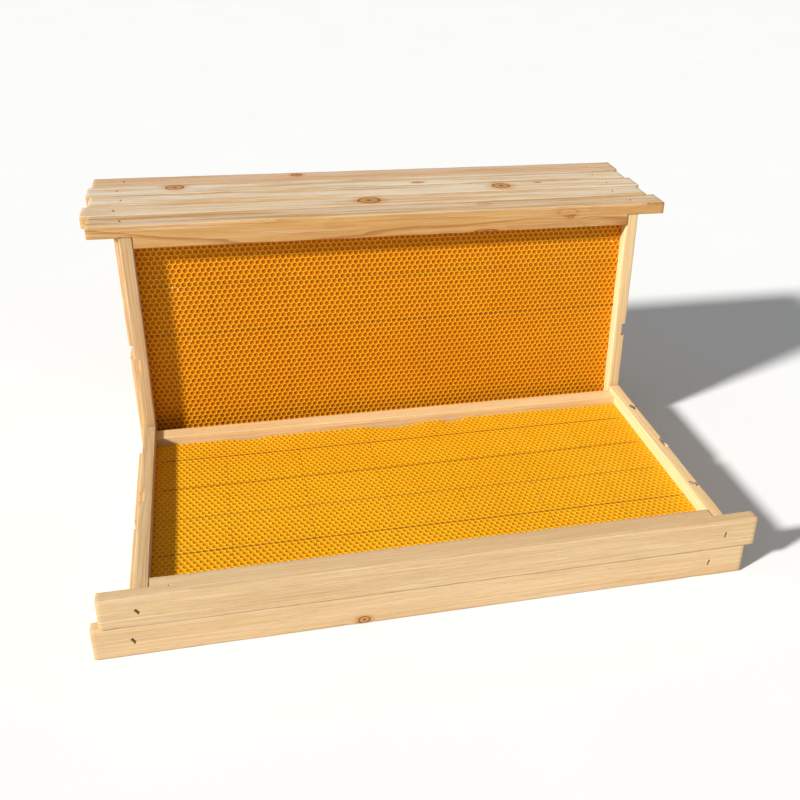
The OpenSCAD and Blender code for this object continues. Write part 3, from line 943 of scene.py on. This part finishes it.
def build_wax():
    lo, hi = own_box("upright_1", "foundation")
    lo[0], hi[0] = lo[0] - SPREAD, hi[0] + SPREAD
    points, depths, faces = wax_solid(lo, hi)
    for i, name in enumerate(FRAMES):
        co = points.copy()
        co[:, 1] += wave(co[:, 0], co[:, 2], i)
        co[:, 0] += 0.05 * np.sin(co[:, 2] / 3.1 + i) * np.sin(co[:, 0] / 7.7)
        inside = (co[:, 0] > lo[0] + 0.5) & (co[:, 0] < hi[0] - 0.5)
        co[:, 0] = np.where(inside, co[:, 0], points[:, 0])
        if name == "flat_upper":
            drawn = sum(share * np.clip(1 - ((co[:, 0] - x) / half) ** 2, 0, 1) for x, half, share in DRAWN)
            drawn *= np.exp((lo[2] - co[:, 2]) / 7)
            co[:, 2] += DRAWN_BACK * drawn
            co[:, 1] -= DRAWN_DOWN * drawn
        owned = [(k, x, z, size) for k, (owner, x, z, size) in enumerate(CRUMBS) if owner == name]
        crumbs = [crumb((x, lo[1] + 0.1, z), size, k) for k, x, z, size in owned]
        more_points, more_faces = join_meshes(crumbs)
        all_points = np.concatenate([co, np.array(more_points, np.float32).reshape(-1, 3)])
        all_faces = faces + [tuple(k + len(co) for k in f) for f in more_faces]
        mesh = make_mesh(f"{name}_foundation_detail", all_points.tolist(), all_faces)
        mesh.materials.append(WAX)
        mesh.materials.append(CRUMB)
        kinds = np.zeros(len(all_faces), np.int32)
        kinds[len(faces):] = 1
        mesh.polygons.foreach_set("material_index", kinds)
        depth = np.zeros(len(all_points), np.float32)
        depth[: len(depths)] = depths
        store(mesh, "depth", "FLOAT", depth)
        store(mesh, "batch", "FLOAT", np.full(len(all_points), float(kind_of(name) == "flat")))
        place = [all_points[:, 0] + BOARD_STEP * i, all_points[:, 2], all_points[:, 1]]
        store(mesh, "wax", "FLOAT_VECTOR", np.stack(place, 1))
        settle(mesh, name, "foundation")


# ---------------- wire and staples
def sweep(path, ring):
    """A closed tube: a ring of offsets carried along a path without twist."""
    path = [Vector(p) for p in path]
    points, faces = [], []
    before, after = path[:1] + path[:-1], path[1:] + path[-1:]
    tangents = [(b - a).normalized() for a, b in zip(before, after)]
    side = tangents[0].orthogonal().normalized()
    for p, t in zip(path, tangents):
        side = (side - t * side.dot(t)).normalized()
        up = t.cross(side)
        points += [tuple(p + side * a + up * b) for a, b in ring]
    n = len(ring)
    for low in range(0, (len(path) - 1) * n, n):
        high = low + n
        faces += [(low + j, low + (j + 1) % n, high + (j + 1) % n, high + j) for j in range(n)]
    faces += [tuple(reversed(range(n))), tuple(range((len(path) - 1) * n, len(path) * n))]
    return points, faces


def round_ring(radius, sides=8):
    angles = [2 * math.pi * k / sides for k in range(sides)]
    return [(radius * math.cos(a), radius * math.sin(a)) for a in angles]


def eased(corners, radius, step):
    """A path through corners, each rounded, with points at most a step apart."""
    corners = [Vector(c) for c in corners]
    path = [corners[0]]
    for before, here, after in zip(corners, corners[1:], corners[2:]):
        a = here + (before - here).normalized() * min(radius, (before - here).length * 0.45)
        b = here + (after - here).normalized() * min(radius, (after - here).length * 0.45)
        path.append(a)
        path += [a * (1 - k) ** 2 + here * 2 * k * (1 - k) + b * k * k for k in (0.25, 0.5, 0.75)]
        path.append(b)
    path.append(corners[-1])
    dense = [path[0]]
    for a, b in zip(path, path[1:]):
        count = max(1, math.ceil((b - a).length / step))
        dense += [a.lerp(b, k / count) for k in range(1, count + 1)]
    return dense


LACED_R, STANDING_R = 0.25, 0.2  # radii of the laced wire and of the standing ones
WIRE_LIFT = 0.32  # from a side bar's face to the middle of a wire that lies on it


def build_wires():
    for i, name in enumerate(FRAMES):
        sheet_lo, sheet_hi = own_box(name, "foundation")
        bar_lo, bar_hi = own_box(name, "right_side_bar")
        left_x, right_x = LUG - WIRE_LIFT, bar_hi[0] + WIRE_LIFT
        end_x, end_y = (bar_lo[0] + bar_hi[0]) / 2 - 2, bar_hi[1] + WIRE_LIFT
        corners = [(end_x, end_y, RUN_Z[0] + 2), (right_x, end_y, RUN_Z[0] + 1)]
        for run, z in enumerate(RUN_Z):
            for x in (right_x, left_x) if run % 2 == 0 else (left_x, right_x):
                corners.append((x, RUN_Y, z))
        corners += [(right_x, end_y, RUN_Z[-1] + 1), (end_x, end_y, RUN_Z[-1] + 2)]
        path = []
        for p in eased(corners, 1.3, 5.0):
            inside = min(1.0, max(0.0, (p.x - sheet_lo[0]) / 6), max(0.0, (sheet_hi[0] - p.x) / 6))
            sunk = (SUNK_Y[kind_of(name)] - RUN_Y + float(wave(p.x, p.z, i))) * inside
            path.append((p.x, p.y + sunk, p.z + 0.12 * wobble(p.x, i + p.z, 40) * inside))
        parts = [sweep(path, round_ring(LACED_R))]
        for n, x in enumerate(STAND_X):
            wire = []
            for z in stretch(sheet_lo[2] + 0.2, sheet_hi[2] - 0.2, 1.75):
                y = STAND_Y[kind_of(name)] + 0.12 * math.sin(z * 0.9 + n) + float(wave(x, z, i))
                wire.append((x + 0.25 * wobble(z, n + i, 60), y, z))
            parts.append(sweep(wire, round_ring(STANDING_R, 6)))
        points, faces = join_meshes(parts)
        mesh = make_mesh(f"{name}_wires_detail", points, faces)
        store(mesh, "waxed", "FLOAT", [sheet_lo[0] < x < sheet_hi[0] for x, _, _ in points])
        settle(mesh, name, "wires")


def staple(crown, leg, thick, place):
    """A staple bent from flat wire, its crown's top at Z = 0 and along X, legs down, then put in place."""
    half = crown / 2 - thick / 2
    corners = [(-half, 0, -leg), (-half, 0, -thick / 2), (half, 0, -thick / 2), (half, 0, -leg)]
    path = eased(corners, thick * 0.75, 4.0)
    r, e = thick / 2, thick * 0.16
    ring = [(-r + e, -r), (r - e, -r), (r, -r + e), (r, r - e)]
    ring += [(r - e, r), (-r + e, r), (-r, r - e), (-r, -r + e)]
    points, faces = sweep(path, ring)
    return [tuple(place @ Vector(p)) for p in points], faces


def turn(angle, axis):
    return Matrix.Rotation(math.radians(angle), 4, axis)


WIRE_CROWN, WIRE_LEG, WIRE_CROWN_T = 7.5, 8.6, 0.8  # a wire staple's crown, leg and thickness
WIRE_CROWN_LIFT = 1.4  # how far its crown's top stands off the side bar
WIRE_STAPLE_RISE = 2  # how far it is above the run that it holds


def build_staples():
    for i, name in enumerate(FRAMES):
        right = own_box(name, "top_bar")[1][0]
        bar_lo, bar_hi = own_box(name, "right_side_bar")
        parts = []
        for (x, angle), foot in zip(crown_places(i, right), (LUG + 5, right - LUG - 5)):
            upper = Matrix.Translation((x, MID_Y, H - SINK)) @ turn(angle, "Z")
            lower = Matrix.Translation((foot, MID_Y, SINK)) @ turn(90, "Z") @ turn(180, "X")
            parts += [staple(CROWN, LEG, CROWN_T, place) for place in (upper, lower)]
        settle(make_mesh(f"{name}_joint_staples_detail", *join_meshes(parts)), name, "joint_staples")
        parts = []
        for z, angle in ((RUN_Z[0], -55), (RUN_Z[-1], -79)):
            edge = Matrix.Translation(((bar_lo[0] + bar_hi[0]) / 2, bar_hi[1], z + WIRE_STAPLE_RISE))
            place = edge @ turn(angle, "Y") @ turn(-90, "X") @ Matrix.Translation((0, 0, WIRE_CROWN_LIFT))
            parts.append(staple(WIRE_CROWN, WIRE_LEG, WIRE_CROWN_T, place))
        settle(make_mesh(f"{name}_wire_staples_detail", *join_meshes(parts)), name, "wire_staples")


build_boards()
build_wax()
build_wires()
build_staples()

# ---------------- floor, light and camera
FLOOR_RADIUS = 14.0  # metres
FLOOR_GAP = 0.0006

floor_tree = Tree("floor")
floor_place = floor_tree.node("ShaderNodeNewGeometry").outputs["Position"]
floor_noise = floor_tree.noise(floor_place, (6.0, 6.0, 6.0), 3.0)
floor_colour = floor_tree.mix(floor_noise, (0.89, 0.89, 0.885), (0.92, 0.92, 0.915))
FLOOR = floor_tree.finish(floor_colour, 0.9, Specular_IOR_Level=0.1)
low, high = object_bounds()
centre = (low + high) / 2
bm = bmesh.new()
bmesh.ops.create_circle(bm, cap_ends=True, segments=96, radius=FLOOR_RADIUS)
bmesh.ops.translate(bm, verts=bm.verts, vec=(centre.x, centre.y, low.z - FLOOR_GAP))
floor_mesh = bpy.data.meshes.new("floor")
bm.to_mesh(floor_mesh)
bm.free()
floor_mesh.materials.append(FLOOR)
floor_object = bpy.data.objects.new("floor", floor_mesh)
scene.collection.objects.link(floor_object)

sun = bpy.data.lights.new("key", "SUN")
sun.energy = 5.15  # low sun from the left, softened
sun.angle = math.radians(5.5)
sun.color = (1.0, 0.99, 0.965)
key = bpy.data.objects.new("key", sun)
key.rotation_mode = "QUATERNION"
key.rotation_quaternion = Vector((2.25, 1.0, -1.4)).to_track_quat("-Z", "Y")
scene.collection.objects.link(key)

world = bpy.data.worlds.new("studio")
world.use_nodes = True
world.node_tree.nodes["Background"].inputs["Color"].default_value = (0.96, 0.98, 1.0, 1)
world.node_tree.nodes["Background"].inputs["Strength"].default_value = 0.29
scene.world = world
scene.view_settings.view_transform = "Standard"
scene.view_settings.look = "None"

# The photograph's own view: its camera was solved from the frames' corners, then placed from this bar's box
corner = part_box("flat_upper_top_bar")
camera_data = bpy.data.cameras.new("camera")
camera_data.sensor_width = 36
camera_data.lens = 44.872
camera_data.shift_x, camera_data.shift_y = -0.09111, -0.00946
camera_data.clip_start, camera_data.clip_end = 0.01, 60
camera = bpy.data.objects.new("camera", camera_data)
camera.location = (corner[0].x + 0.098729, corner[0].y - 0.552044, corner[1].z + 0.437083)
camera.rotation_euler = [math.radians(a) for a in (61.89054, -2.09276, -14.29611)]
scene.collection.objects.link(camera)
scene.camera = camera
